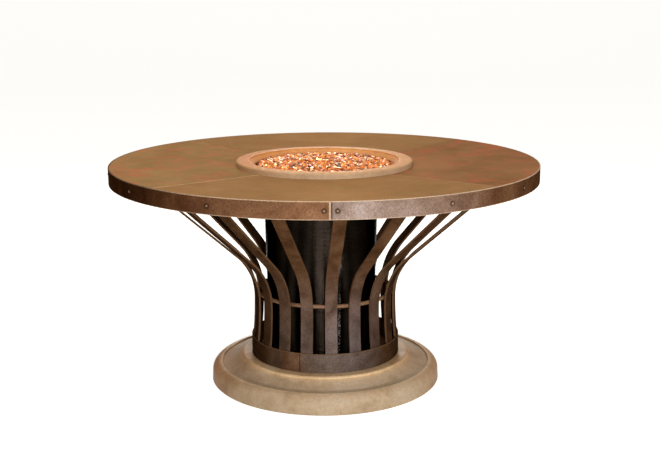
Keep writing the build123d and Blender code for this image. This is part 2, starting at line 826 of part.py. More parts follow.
# The bent plate that carries the valve and the igniter under the rear edge
plate_width = plate_right - plate_left
with BuildPart() as plate:
    with BuildSketch(Plane.YZ.offset(plate_left)):
        with BuildLine():
            front = control_y + plate_thickness
            Polyline(
                (plate_flange_end, board_bottom),
                (front, board_bottom),
                (front, board_bottom - plate_depth),
                (control_y, board_bottom - plate_depth),
                (control_y, board_bottom - plate_thickness),
                (plate_flange_end, board_bottom - plate_thickness),
                close=True,
            )
        make_face()
    extrude(amount=plate_width)
    with BuildSketch(Plane.XZ):
        with Locations((control_x, control_z), (igniter_x, control_z)):
            Circle(bushing_radius + hole_fit)
    extrude(amount=-front - plate_thickness, mode=Mode.SUBTRACT)
    for x, y in plate_screw_places:
        cut_screw_hole(x, y, board_bottom, plate_thickness, pan_screw_radius)
save(plate.part, "control_bracket")

# The gas valve: a brass block with two ports and a threaded bushing through the plate
bushing_end = control_y + bushing_length
valve_back = control_y - valve_depth
stem_end = control_y - stem_depth
with BuildPart() as valve:
    with BuildSketch(Plane.XZ.offset(-control_y)):
        with Locations((control_x, control_z)):
            RectangleRounded(valve_width, valve_height, valve_corner)
    extrude(amount=valve_depth)
    with BuildSketch(Plane.XZ.offset(-bushing_end)):
        with Locations((control_x, control_z)):
            Circle(bushing_radius)
    extrude(amount=bushing_length)
    with BuildSketch(Plane.XZ.offset(-valve_back)):
        with Locations((outlet_x, control_z), (supply_x, control_z)):
            Circle(port_radius)
    extrude(amount=port_length)
    with BuildSketch(Plane.XZ.offset(-bushing_end)):
        with Locations((control_x, control_z)):
            Circle(stem_radius + loose_fit)
    extrude(amount=bushing_end - stem_end + loose_fit, mode=Mode.SUBTRACT)
save(valve.part, "gas_valve")

# The stem that turns in the valve, and the knob on it
stem_tip = control_y + stem_reach
with BuildPart() as stem:
    with BuildSketch(Plane.XZ.offset(-stem_tip)):
        with Locations((control_x, control_z)):
            Circle(stem_radius)
    extrude(amount=stem_tip - stem_end)
save(stem.part, "valve_stem")

knob_back = bushing_end + knob_gap
with BuildPart() as knob:
    with BuildSketch(Plane.XZ.offset(-knob_back)):
        with Locations((control_x, control_z)):
            Circle(knob_radius)
    extrude(amount=-(knob_length - knob_grip_height))
    fillet(knob.faces().sort_by(Axis.Y)[-1].edges(), knob_edge_fillet)
    with BuildSketch(Plane.XZ.offset(-knob_back - knob_length)):
        with Locations((control_x, control_z)):
            RectangleRounded(knob_grip_width, 2 * knob_radius - knob_grip_width, knob_grip_corner)
    extrude(amount=knob_grip_height)
    with BuildSketch(Plane.XZ.offset(-stem_tip)):
        with Locations((control_x, control_z)):
            Circle(stem_radius + knob_bore_fit)
    extrude(amount=stem_tip - knob_back, mode=Mode.SUBTRACT)
save(knob.part, "control_knob")

# The push-button igniter: a housing with a threaded bushing, and its button
button_end = control_y - button_depth
with BuildPart() as igniter:
    with BuildSketch(Plane.XZ.offset(-control_y)):
        with Locations((igniter_x, control_z)):
            Circle(igniter_radius)
    extrude(amount=igniter_length)
    with BuildSketch(Plane.XZ.offset(-bushing_end)):
        with Locations((igniter_x, control_z)):
            Circle(bushing_radius)
    extrude(amount=bushing_length)
    with BuildSketch(Plane.XZ.offset(-bushing_end)):
        with Locations((igniter_x, control_z)):
            Circle(button_radius + loose_fit)
    extrude(amount=bushing_end - button_end + button_travel + loose_fit, mode=Mode.SUBTRACT)
save(igniter.part, "igniter_housing")

head_back = bushing_end + button_travel + loose_fit
with BuildPart() as button:
    with BuildSketch(Plane.XZ.offset(-head_back)):
        with Locations((igniter_x, control_z)):
            Circle(button_radius)
    extrude(amount=head_back - button_end)
    with BuildSketch(Plane.XZ.offset(-head_back - button_head_height)):
        with Locations((igniter_x, control_z)):
            Circle(button_head_radius)
    extrude(amount=button_head_height)
    fillet(button.faces().sort_by(Axis.Y)[-1].edges(), button_edge_fillet)
save(button.part, "igniter_button")

# The two panel nuts that hold the valve and the igniter to the plate
with BuildPart() as panel_nuts:
    with BuildSketch(Plane.XZ.offset(-front - nut_height)):
        with Locations((control_x, control_z), (igniter_x, control_z)):
            RegularPolygon(nut_flats / 2, 6, major_radius=False)
            Circle(bushing_radius + hole_fit, mode=Mode.SUBTRACT)
    extrude(amount=nut_height)
save(panel_nuts.part, "panel_nuts")

# The bar over the hole in the foot, and the gas inlet fitting in it
with BuildPart() as inlet_bar:
    with BuildSketch(Plane.XY.offset(foot_height)):
        with Locations((0, inlet_y)):
            RectangleRounded(inlet_bar_length, inlet_bar_width, inlet_bar_corner)
            Circle(inlet_shank_radius + hole_fit, mode=Mode.SUBTRACT)
        with Locations(inlet_screw_places):
            Circle(pan_screw_radius + hole_fit, mode=Mode.SUBTRACT)
    extrude(amount=inlet_bar_thickness)
save(inlet_bar.part, "inlet_bracket")

inlet_seat = foot_height + inlet_bar_thickness
inlet_top = inlet_seat + inlet_hex_height + inlet_barb_length
with BuildPart() as inlet:
    with BuildSketch(Plane(origin=(0, inlet_y, inlet_seat))):
        RegularPolygon(inlet_hex_flats / 2, 6, major_radius=False)
    extrude(amount=inlet_hex_height)
    with BuildSketch(Plane(origin=(0, inlet_y, inlet_seat))):
        Circle(inlet_shank_radius)
    extrude(amount=-inlet_bar_thickness)
    with BuildSketch(Plane(origin=(0, inlet_y, foot_height))):
        Circle(inlet_stub_radius)
    extrude(amount=-inlet_stub_length)
    with BuildSketch(Plane(origin=(0, inlet_y, inlet_top))):
        Circle(inlet_barb_radius)
    extrude(amount=-inlet_barb_length)
save(inlet.part, "inlet_fitting")

# The bracket under the top ring that holds the hoses and the lead
with BuildPart() as hose_bracket:
    with BuildSketch(Plane.XY.offset(frame_bottom)):
        with Locations((bracket_left, hose_bracket_y)):
            Rectangle(bracket_right - bracket_left, hose_bracket_foot, align=(Align.MIN, Align.MAX))
        with Locations(bracket_screw_places):
            Circle(pan_screw_radius + hole_fit, mode=Mode.SUBTRACT)
    extrude(amount=-hose_bracket_thickness)
    with BuildSketch(Plane.XZ.offset(-hose_bracket_y)):
        with Locations((bracket_left, frame_bottom)):
            Rectangle(bracket_right - bracket_left, hose_bracket_drop, align=(Align.MIN, Align.MAX))
        with Locations((outlet_x, control_z), (supply_x, control_z)):
            Circle(hose_radius + loose_fit, mode=Mode.SUBTRACT)
        with Locations((igniter_x, control_z)):
            Circle(lead_radius + loose_fit, mode=Mode.SUBTRACT)
    extrude(amount=hose_bracket_thickness)
save(hose_bracket.part, "hose_bracket")

# Pan-head screws of the drum, the inlet bar, the control plate and the hose bracket
with BuildPart() as fixing_screws:
    for x, y in drum_screw_places:
        add_pan_screw(x, y, foot_height + drum_wall, False)
    for x, y in inlet_screw_places:
        add_pan_screw(x, y, inlet_seat, False)
    for x, y in plate_screw_places:
        add_pan_screw(x, y, board_bottom - plate_thickness, True)
    for x, y in bracket_screw_places:
        add_pan_screw(x, y, frame_bottom - hose_bracket_thickness, True)
save(fixing_screws.part, "fixing_screws")

# The two gas hoses and the ignition lead, each a tube along its own route
def past_drum(share):
    """How far back a hose is at a share of its way from the drum's edge to the bracket."""
    return drum_top_radius + share * (hose_bracket_y - drum_top_radius)


def risen(share):
    """How high the supply hose is at a share of its way from the inlet to the controls."""
    return inlet_top + share * (control_z - inlet_top)


def climbed(share):
    """How high a hose is at a share of its way from the burner's elbow to the controls."""
    return feed_elbow_height + share * (control_z - feed_elbow_height)


def lifted(share):
    """How high the lead is at a share of its way from the burner's elbow to the electrode."""
    return feed_elbow_height + share * (electrode_foot - electrode_stub - feed_elbow_height)


port_end = valve_back - port_length
supply_route = [
    (0, inlet_y, inlet_top),
    (0, inlet_y, risen(0.108)),
    (-4, 58, risen(0.241)),
    (-13, 84, risen(0.383)),
    (-23, 112, risen(0.526)),
    (-31, 138, risen(0.668)),
    (-38, 172, risen(0.801)),
    (-50, past_drum(0.133), risen(0.901)),
    (-62, past_drum(0.349), risen(0.962)),
    (-71, past_drum(0.584), risen(0.998)),
    (supply_x, past_drum(0.834), control_z),
    (supply_x, port_end, control_z),
]
burner_route = [
    (0, feed_port_end, feed_elbow_height),
    (0, 85, feed_elbow_height),
    (-2, 150, climbed(-0.053)),
    (-7, past_drum(0.086), climbed(0.107)),
    (-17, past_drum(0.28), climbed(0.493)),
    (-28, past_drum(0.488), climbed(0.827)),
    (outlet_x, past_drum(0.709), control_z),
    (outlet_x, port_end, control_z),
]
lead_route = [
    (igniter_x, control_y - igniter_length, control_z),
    (igniter_x, past_drum(0.931), control_z),
    (4, past_drum(0.737), climbed(0.987)),
    (8, past_drum(0.557), climbed(0.84)),
    (15, past_drum(0.377), climbed(0.6)),
    (24, past_drum(0.211), climbed(0.293)),
    (33, past_drum(0.044), climbed(-0.04)),
    (37, 145, climbed(-0.253)),
    (38, 95, climbed(-0.2)),
    (37, 56, climbed(0)),
    (36, 34, lifted(0.232)),
    (40, 28, lifted(0.57)),
    (52, 39, lifted(0.7)),
    (66, 58, lifted(0.72)),
    (electrode_x, electrode_y, lifted(0.85)),
    (electrode_x, electrode_y, electrode_foot - electrode_stub),
]
for name, route, radius in (
    ("gas_supply_hose", supply_route, hose_radius),
    ("burner_hose", burner_route, hose_radius),
    ("ignition_lead", lead_route, lead_radius),
):
    radii = route_radii(route)
    with BuildPart() as tube:
        with BuildLine() as path:
            FilletPolyline(*route, radius=radii)
        with BuildSketch(Plane(origin=path.line @ 0, z_dir=path.line % 0)):
            Circle(radius)
        sweep()
    length = sum(edge.length for edge in path.edges())
    share = tube.part.volume / (length * pi * radius**2)
    print(name, "length", round(length), "volume share", round(share, 4),
          "least bend", round(min(radii)), "radii", [round(value) for value in radii])
    save(tube.part, name)
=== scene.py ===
from math import cos, pi, radians, sin, sqrt, tau

import bmesh
import bpy
import numpy as np
from mathutils import Matrix, Vector


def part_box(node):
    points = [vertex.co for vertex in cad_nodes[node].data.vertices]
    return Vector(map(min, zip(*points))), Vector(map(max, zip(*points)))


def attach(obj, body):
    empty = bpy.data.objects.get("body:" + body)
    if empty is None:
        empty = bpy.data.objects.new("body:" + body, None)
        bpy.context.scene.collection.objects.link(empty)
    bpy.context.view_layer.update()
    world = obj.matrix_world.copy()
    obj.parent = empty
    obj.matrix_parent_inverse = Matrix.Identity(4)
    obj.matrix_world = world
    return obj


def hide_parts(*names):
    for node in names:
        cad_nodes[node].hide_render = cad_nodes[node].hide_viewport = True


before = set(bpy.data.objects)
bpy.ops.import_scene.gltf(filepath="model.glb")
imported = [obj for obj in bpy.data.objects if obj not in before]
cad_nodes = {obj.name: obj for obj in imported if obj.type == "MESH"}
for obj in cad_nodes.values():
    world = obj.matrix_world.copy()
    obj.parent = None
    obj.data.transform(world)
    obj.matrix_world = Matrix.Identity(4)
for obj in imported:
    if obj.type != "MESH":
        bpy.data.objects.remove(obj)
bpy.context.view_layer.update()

# The camera stands in front of the table, 1.28 m up and about two and a half table widths away from
# its middle, and looks down on the top.
camera_distance = 3.5177
camera_height = 1.2838
camera_pitch = radians(12.966)
camera_yaw = radians(0.311)
camera_roll = radians(-0.2325)
lens_mm = 60.01

camera = bpy.data.objects.new("camera", bpy.data.cameras.new("camera"))
bpy.context.scene.collection.objects.link(camera)
camera.data.sensor_width = 36
camera.data.lens = lens_mm
camera.matrix_world = (
    Matrix.Translation((0, -camera_distance, camera_height))
    @ Matrix.Rotation(-camera_yaw, 4, "Z")
    @ Matrix.Rotation(pi / 2 - camera_pitch, 4, "X")
    @ Matrix.Rotation(camera_roll, 4, "Z")
)
bpy.context.scene.camera = camera


# The foot is one heavy casting of tan concrete. It is cast upside down in a smooth mould, so its
# face is dense, with a few air holes and cloudy stain, under a dull sealer. Painted highlights lie
# on its ridges, and painted shade in its step, by the ring and on its two sides.
def new_finish(name):
    finish = bpy.data.materials.new(name)
    finish.use_nodes = True
    return finish, finish.node_tree, finish.node_tree.nodes["Principled BSDF"]


def wire(tree, kind, inputs=(), **settings):
    made = tree.nodes.new("ShaderNode" + kind)
    for name, value in settings.items():
        setattr(made, name, value)
    for name, value in dict(inputs).items():
        if isinstance(value, bpy.types.NodeSocket):
            tree.links.new(value, made.inputs[name])
        else:
            made.inputs[name].default_value = value
    return made


def place_of(tree):
    """The place on the piece, in metres from the middle of the foot's underside."""
    return wire(tree, "TexCoord").outputs["Object"]


def on_surface(tree, stretch=(1, 1, 1), offset=(0, 0, 0)):
    """The place that a pattern is drawn at."""
    inputs = {"Vector": place_of(tree), "Scale": stretch, "Location": offset}
    return wire(tree, "Mapping", inputs).outputs[0]


def noise(tree, at, scale, detail, roughness=0.55, distortion=0.0):
    return wire(
        tree, "TexNoise",
        {"Vector": at, "Scale": scale, "Detail": detail, "Roughness": roughness, "Distortion": distortion},
    ).outputs["Fac"]


def ramp(tree, amount, *stops):
    made = wire(tree, "ValToRGB", {"Fac": amount})
    band = made.color_ramp
    while len(band.elements) < len(stops):
        band.elements.new(0.5)
    for element, (place, colour) in zip(band.elements, stops):
        element.position = place
        element.color = (*colour, 1)
    return made.outputs["Color"]


def grey(value):
    return (value, value, value)


def span(tree, amount, low, high, new_low, new_high):
    return wire(
        tree, "MapRange",
        {"Value": amount, "From Min": low, "From Max": high, "To Min": new_low, "To Max": new_high},
    ).outputs["Result"]


def blend_colour(tree, amount, first, second, mode="MIX"):
    made = wire(tree, "MixRGB", {"Fac": amount, "Color1": first, "Color2": second}, blend_type=mode)
    return made.outputs["Color"]


def bump(tree, height, distance, strength, under=None):
    inputs = {"Height": height, "Distance": distance, "Strength": strength}
    if under is not None:
        inputs["Normal"] = under
    return wire(tree, "Bump", inputs).outputs["Normal"]


def calc(tree, what, first, second=0.0):
    made = wire(tree, "Math", operation=what)
    for socket, value in zip(made.inputs, (first, second)):
        if isinstance(value, bpy.types.NodeSocket):
            tree.links.new(value, socket)
        else:
            socket.default_value = value
    return made.outputs[0]


def cover(finish, *names):
    for name in names:
        shell = cad_nodes[name]
        shell.data.materials.clear()
        shell.data.materials.append(finish)


def axes_of(tree, place):
    """The X, Y and Z of a place."""
    parts = wire(tree, "SeparateXYZ", {"Vector": place}).outputs
    return parts["X"], parts["Y"], parts["Z"]


def level_of(tree):
    """The place on the piece as seen from above, with no height."""
    return wire(tree, "VectorMath", {0: place_of(tree), 1: (1, 1, 0)}, operation="MULTIPLY").outputs[0]


def radius_of(tree):
    """The distance from the middle of the table."""
    return wire(tree, "VectorMath", {0: level_of(tree)}, operation="LENGTH").outputs["Value"]


def by_radius(tree, *stops):
    """A colour that changes from the middle of the table out, given as (radius, colour) stops."""
    inner, outer = stops[0][0], stops[-1][0]
    share = span(tree, radius_of(tree), inner, outer, 0.0, 1.0)
    return ramp(tree, share, *[((radius - inner) / (outer - inner), colour) for radius, colour in stops])


def by_angle(tree, *stops):
    """A colour that changes round the table, given as (degrees from the front towards +X, colour) stops."""
    x, y, _ = axes_of(tree, place_of(tree))
    turn = calc(tree, "ARCTAN2", x, calc(tree, "MULTIPLY", y, -1.0))
    share = span(tree, turn, -pi, pi, 0.0, 1.0)
    return ramp(tree, share, *[(0.5 + angle / 360, colour) for angle, colour in stops])


def near(tree, value, middle, reach):
    """1 up to half the reach from a value's middle, and 0 from the whole reach on."""
    apart = calc(tree, "ABSOLUTE", calc(tree, "SUBTRACT", value, middle))
    return span(tree, apart, 0.5 * reach, reach, 1.0, 0.0)


def tinted(tree, colour, tint, share=1.0):
    return blend_colour(tree, share, colour, tint, "MULTIPLY")


def shaded(tree, colour, share, amount, low, shade, high):
    """The colour times a grey: a shade at the low end of an amount, and white from its high end on."""
    return tinted(tree, colour, ramp(tree, amount, (low, grey(shade)), (high, grey(1.0))), share)


no_tint = (1, 1, 1, 1)


def cast_concrete(name, dark, mid, pale, light_and_shade, offset=(0, 0, 0)):
    """Cloudy stained concrete with sand grain and a few air holes, tinted by its own painted light and
    shade.
    """
    finish, tree, shader = new_finish(name)
    at = on_surface(tree, offset=offset)
    clouds = noise(tree, at, 9, 6, 0.62, 0.4)
    mottle = noise(tree, at, 85, 5, 0.68)
    sand = noise(tree, at, 520, 3, 0.6)
    base = ramp(tree, clouds, (0.36, dark), (0.5, mid), (0.64, pale))
    base = shaded(tree, base, 0.6, mottle, 0.32, 0.74, 0.6)
    base = shaded(tree, base, 0.55, sand, 0.38, 0.7, 0.6)
    base = tinted(tree, base, light_and_shade(tree))
    cells = wire(tree, "TexVoronoi", {"Vector": at, "Scale": 110.0, "Randomness": 1.0})
    hole_reach = span(tree, noise(tree, at, 37, 2), 0.5, 0.64, 0.0, 0.2)
    holes = calc(tree, "LESS_THAN", cells.outputs["Distance"], hole_reach)
    hole_shade = (*[0.45 * share for share in dark], 1)
    base = blend_colour(tree, calc(tree, "MULTIPLY", holes, 0.6), base, hole_shade)
    tree.links.new(base, shader.inputs["Base Color"])
    tree.links.new(span(tree, mottle, 0.3, 0.7, 0.42, 0.6), shader.inputs["Roughness"])
    relief = bump(tree, sand, 0.0006, 0.5)
    relief = bump(tree, mottle, 0.0014, 0.35, relief)
    relief = bump(tree, calc(tree, "SUBTRACT", 1.0, holes), 0.0014, 0.7, relief)
    tree.links.new(relief, shader.inputs["Normal"])
    shader.inputs["Specular IOR Level"].default_value = 0.15
    return finish


# The foot's painted shadow line lies here, behind the ridge, where the step hides the cove.
step_shadow_radius = 0.327
step_shadow_reach = 0.008


def foot_painted_light(tree):
    """Painted light and shade: highlights on the ridges, shadow in the step and by the ring, warm shade at
    the sides.
    """
    # Painted highlights on the collar's crest and the ridge, painted shadow in the step and by the ring,
    # and greyer painted shade towards the outer side.
    rings = by_radius(
        tree, (0.240, grey(0.62)), (0.248, grey(0.95)), (0.262, (1.1, 1.1, 1.06)), (0.277, (1.1, 1.1, 1.1)),
        (0.288, (0.9, 0.94, 1.04)), (0.318, (0.9, 0.96, 1.1)), (0.338, (0.88, 0.92, 0.99)),
        (0.3425, grey(0.72)), (0.3438, (1.3, 1.4, 1.52)), (0.3495, (1.22, 1.3, 1.4)),
        (0.355, (1.0, 1.04, 1.12)), (0.363, (0.92, 0.96, 1.06)), (0.374, (0.79, 0.85, 0.98)),
        (0.377, (0.78, 0.85, 0.98)),
    )
    # Painted shade, dark and warm, on the foot's two sides, on its outer part only.
    sides = by_angle(
        tree, (-180, grey(1.0)), (-130, (0.98, 0.9, 0.8)), (-85, (0.88, 0.5, 0.2)), (-40, grey(1.0)),
        (45, grey(1.0)), (90, (0.77, 0.5, 0.26)), (130, (0.98, 0.9, 0.8)), (180, grey(1.0)),
    )
    outer_share = span(tree, radius_of(tree), 0.35, 0.36, 0.5, 1.0)
    sides = blend_colour(tree, outer_share, no_tint, sides)
    # A painted shadow line behind the ridge, in front only.
    front = by_angle(tree, (-75, grey(0.0)), (-35, grey(0.22)), (35, grey(0.22)), (75, grey(0.0)))
    step_shadow_mask = near(tree, radius_of(tree), step_shadow_radius, step_shadow_reach)
    step_shadow = blend_colour(tree, calc(tree, "MULTIPLY", step_shadow_mask, front), no_tint, (0.1, 0.08, 0.06, 1))
    return tinted(tree, tinted(tree, rings, sides), step_shadow)


foot_tones = ((0.64, 0.4, 0.2), (0.82, 0.545, 0.3), (0.9, 0.63, 0.375))
cover(cast_concrete("foot_concrete", *foot_tones, foot_painted_light), "base_casting")


# The ring, the nineteen bars and the rod hoop are mild steel flat bar and rod, bent cold and welded,
# then sprayed dark bronze. The bars' and rod's narrow side faces are painted copper, as a painted
# highlight where they catch the light as well as a thin coat. The ring's upper edge is worn through to
# copper.
def lit_edge_share(tree):
    """How much a face looks sideways round the table, as a bar's narrow cut faces do; these get a painted
    copper highlight.
    """
    facing = wire(tree, "NewGeometry").outputs["True Normal"]
    out = wire(tree, "VectorMath", {0: level_of(tree)}, operation="NORMALIZE").outputs[0]
    round_table = wire(tree, "VectorMath", {0: (0, 0, 1), 1: out}, operation="CROSS_PRODUCT").outputs[0]
    side = wire(tree, "VectorMath", {0: facing, 1: round_table}, operation="DOT_PRODUCT").outputs["Value"]
    return span(tree, calc(tree, "ABSOLUTE", side), 0.7, 0.9, 0.0, 1.0)


def height_of(tree):
    return axes_of(tree, place_of(tree))[2]


def angle_of(tree):
    """The angle round the table, in radians from +X."""
    x, y, _ = axes_of(tree, place_of(tree))
    return calc(tree, "ARCTAN2", y, x)


# The coat reflects this dark brown at a grazing angle, so the bars' sides show no pale sheen.
coat_graze_tint = (0.12, 0.09, 0.07, 1)


def bronze_coat(
    name, dark, mid, pale, edge_colour, share, grain, roughness=(0.36, 0.5), veil=None, metal=0.16
):
    """A cloudy sprayed coat, with its edge colour where share says so and the veil's tint, both partly
    painted light.
    """
    finish, tree, shader = new_finish(name)
    at = on_surface(tree)
    clouds = noise(tree, at, 13, 4, 0.55, 0.5)
    fine = noise(tree, at, grain, 4, 0.7)
    peel = noise(tree, at, 700, 2, 0.5)
    base = ramp(tree, clouds, (0.34, dark), (0.52, mid), (0.7, pale))
    base = shaded(tree, base, 0.85, fine, 0.34, 0.45, 0.62)
    if veil is not None:
        base = tinted(tree, base, veil(tree))
    to_edge_colour = calc(tree, "MULTIPLY", share(tree), span(tree, fine, 0.3, 0.7, 0.35, 1.0))
    base = blend_colour(tree, to_edge_colour, base, (*edge_colour, 1))
    tree.links.new(base, shader.inputs["Base Color"])
    tree.links.new(span(tree, fine, 0.3, 0.7, *roughness), shader.inputs["Roughness"])
    shader.inputs["Metallic"].default_value = metal
    shader.inputs["Specular IOR Level"].default_value = 0.0
    shader.inputs["Specular Tint"].default_value = coat_graze_tint
    relief = bump(tree, peel, 0.00012, 0.5)
    tree.links.new(bump(tree, fine, 0.0004, 0.45, relief), shader.inputs["Normal"])
    return finish


strap_names = [name for name in cad_nodes if name.startswith("strap_")]
ring_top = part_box("base_ring")[1][2]
ring_joint_angle = radians(-19.3 - 90)
ring_rust_angle = ring_joint_angle - 0.11


def top_of_ring(tree):
    """The ring's upper edge, where the coat is worn through."""
    return span(tree, height_of(tree), ring_top - 0.003, ring_top - 0.001, 0.0, 1.0)


def ring_stain(tree):
    """Rust beside the ring's butt joint, and the dark line of the joint itself."""
    angle = angle_of(tree)
    rust = near(tree, angle, ring_rust_angle, 0.2)
    thin_line = near(tree, angle, ring_joint_angle, 0.008)
    stain = blend_colour(tree, calc(tree, "MULTIPLY", rust, 0.6), no_tint, (1.4, 1.0, 0.65, 1))
    return blend_colour(tree, calc(tree, "MULTIPLY", thin_line, 0.8), stain, (*grey(0.25), 1))


def front_sheen_and_side_shade(tree):
    """Painted sheen, greyer and bluer, low in front, painted light higher in front, and painted shade at
    the two sides.
    """
    height = span(tree, height_of(tree), 0.2, 0.45, 1.0, 0.0)
    low = by_angle(
        tree, (-180, grey(1.4)), (-130, grey(1.1)), (-95, grey(0.5)), (-52, grey(0.66)),
        (-20, (1.35, 1.8, 2.8)), (22, (1.45, 2.15, 4.0)), (52, grey(0.66)), (95, grey(0.5)),
        (130, grey(1.1)), (180, grey(1.4)),
    )
    high = by_angle(
        tree, (-180, grey(1.2)), (-130, grey(1.0)), (-95, grey(0.35)), (-60, grey(0.52)), (-38, grey(0.95)),
        (-14, grey(1.45)), (16, grey(1.45)), (40, grey(1.05)), (60, grey(0.7)), (95, grey(0.42)),
        (130, grey(1.0)), (180, grey(1.2)),
    )
    return blend_colour(tree, height, high, low)


# Rust and the joint's dark line, with the bars' painted sheen and shade.
def ring_veil(tree):
    return tinted(tree, ring_stain(tree), front_sheen_and_side_shade(tree))


strap_tones = ((0.075, 0.035, 0.016), (0.125, 0.062, 0.031), (0.165, 0.087, 0.047))
ring_tones = ((0.086, 0.04, 0.017), (0.126, 0.063, 0.029), (0.162, 0.087, 0.042))
rod_tones = ((0.2, 0.1, 0.05), (0.3, 0.165, 0.09), (0.4, 0.23, 0.14))
copper = (0.2, 0.105, 0.052)
spray_grain = 260
strap_bronze = bronze_coat(
    "strap_bronze", *strap_tones, copper, lit_edge_share, spray_grain, veil=front_sheen_and_side_shade
)
ring_bronze = bronze_coat("ring_bronze", *ring_tones, copper, top_of_ring, spray_grain, veil=ring_veil)
hoop_bronze = bronze_coat("hoop_bronze", *rod_tones, copper, lit_edge_share, spray_grain)
cover(strap_bronze, *strap_names)
cover(ring_bronze, "base_ring")
cover(hoop_bronze, "waist_ring")


# The drum is a rolled steel liner that hides the gas line, and stands inside the ring. It is
# stove-enamelled glossy black over a fine pressed weave. A painted sheen patch lies high in front,
# and a dotted line of painted glints low in front, a little to the right.
weave_pitch = 0.0042
drum_low, drum_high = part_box("liner_drum")
drum_x = (drum_low[0] + drum_high[0]) / 2
drum_radius = (drum_high[0] - drum_low[0]) / 2
weaves_round = round(drum_radius * tau / weave_pitch)
sheen_patch_angle = radians(-92)
sheen_patch_reach = 0.22
glint_line_angle = radians(-71)
glint_line_reach = 0.028
enamel, tree, shader = new_finish("drum_enamel")
at = on_surface(tree, offset=(-drum_x, 0, 0))
x, y, height = axes_of(tree, at)
turn = calc(tree, "ARCTAN2", y, x)
across = calc(tree, "SINE", calc(tree, "MULTIPLY", turn, weaves_round))
along = calc(tree, "SINE", calc(tree, "MULTIPLY", height, tau / weave_pitch))
weave = calc(tree, "MULTIPLY", across, along)
dents = noise(tree, at, 16, 3, 0.5)
pebble = noise(tree, at, 210, 2, 0.5)
tone = ramp(tree, dents, (0.3, (0.009, 0.006, 0.004)), (0.7, (0.017, 0.0125, 0.009)))
upper = span(tree, height, 0.27, 0.38, 0.0, 1.0)
# A painted sheen patch, high up in front.
lightened = calc(tree, "MULTIPLY", near(tree, turn, sheen_patch_angle, sheen_patch_reach), upper)
tone = blend_colour(tree, lightened, tone, (0.036, 0.026, 0.02, 1))
# A dotted vertical line of painted glints, low in front and to the right.
thin_line = near(tree, turn, glint_line_angle, glint_line_reach)
glint_dots = span(tree, noise(tree, at, 170, 3, 0.7), 0.46, 0.54, 0.0, 1.0)
glint_dots = calc(tree, "MULTIPLY", glint_dots, span(tree, height, 0.29, 0.34, 1.0, 0.1))
tone = blend_colour(tree, calc(tree, "MULTIPLY", thin_line, glint_dots), tone, (0.8, 0.78, 0.76, 1))
tree.links.new(tone, shader.inputs["Base Color"])
tree.links.new(span(tree, dents, 0.3, 0.7, 0.06, 0.12), shader.inputs["Roughness"])
relief = bump(tree, dents, 0.003, 0.4)
relief = bump(tree, along, 0.0004, 0.8, relief)
relief = bump(tree, weave, 0.0001, 0.5, relief)
tree.links.new(bump(tree, pebble, 0.0005, 0.5, relief), shader.inputs["Normal"])
# The enamel shines only in its own near-black tone, and stays black at a grazing angle.
shader.inputs["Metallic"].default_value = 1.0
shader.inputs["Specular Tint"].default_value = (0, 0, 0, 1)
cover(enamel, "liner_drum")


# The plate ring on the bars and the inner frame round the bowl, a ring with four arms of square
# tube, are black painted steel under the top. Their screws, the foot's bolts and two small brackets
# are zinc-plated.
frame_paint, tree, shader = new_finish("frame_paint")
at = on_surface(tree)
dust = noise(tree, at, 30, 5, 0.65)
peel = noise(tree, at, 480, 2)
face = ramp(tree, dust, (0.35, grey(0.016)), (0.75, grey(0.0352)))
tree.links.new(face, shader.inputs["Base Color"])
tree.links.new(span(tree, dust, 0.3, 0.7, 0.42, 0.57), shader.inputs["Roughness"])
tree.links.new(bump(tree, peel, 0.0002, 0.5), shader.inputs["Normal"])
cover(frame_paint, "top_ring", "bowl_frame", "control_bracket")


def bare_metal(name, dark, pale, roughness):
    """Metal with fine level brush marks and soft spots."""
    finish, tree, shader = new_finish(name)
    brushed = noise(tree, on_surface(tree, (60, 60, 900)), 1.0, 3, 0.6)
    spots = noise(tree, on_surface(tree), 75, 4, 0.6)
    base = ramp(tree, spots, (0.3, dark), (0.7, pale))
    tree.links.new(base, shader.inputs["Base Color"])
    tree.links.new(span(tree, spots, 0.3, 0.7, roughness, roughness + 0.16), shader.inputs["Roughness"])
    shader.inputs["Metallic"].default_value = 1.0
    tree.links.new(bump(tree, brushed, 0.00008, 0.5), shader.inputs["Normal"])
    return finish


zinc = bare_metal("zinc_plate", (0.42, 0.42, 0.4), (0.66, 0.65, 0.6), 0.3)
cover(zinc, "frame_screws", "anchor_bolts", "fixing_screws", "panel_nuts", "inlet_bracket", "hose_bracket")


# The board that carries the panels is exterior plywood with a dark sealed face. It is screwed down
# on the two rings, and only its underside and the lines between the panels can be seen.
sealed_board, tree, shader = new_finish("sealed_board")
veneer = noise(tree, on_surface(tree, (9, 160, 160)), 1.0, 5, 0.6, 0.8)
pores = noise(tree, on_surface(tree, (60, 1400, 1400)), 1.0, 2)
face = ramp(tree, veneer, (0.3, (0.022, 0.016, 0.011)), (0.7, (0.06, 0.043, 0.03)))
tree.links.new(face, shader.inputs["Base Color"])
tree.links.new(span(tree, veneer, 0.3, 0.7, 0.55, 0.75), shader.inputs["Roughness"])
tree.links.new(bump(tree, pores, 0.0003, 0.6), shader.inputs["Normal"])
cover(sealed_board, "support_board")


# The four quarter panels are thin cast slabs, stained reddish tan while green, rubbed and sealed to
# a satin sheen, and bedded on the board with open joints between them.
seam_wear = 0.0045
# A small metallic share gives the sealer's satin sheen, which is tan and not white.
panel_sheen = 0.2
panel_graze_tint = (0.5, 0.4, 0.3, 1)


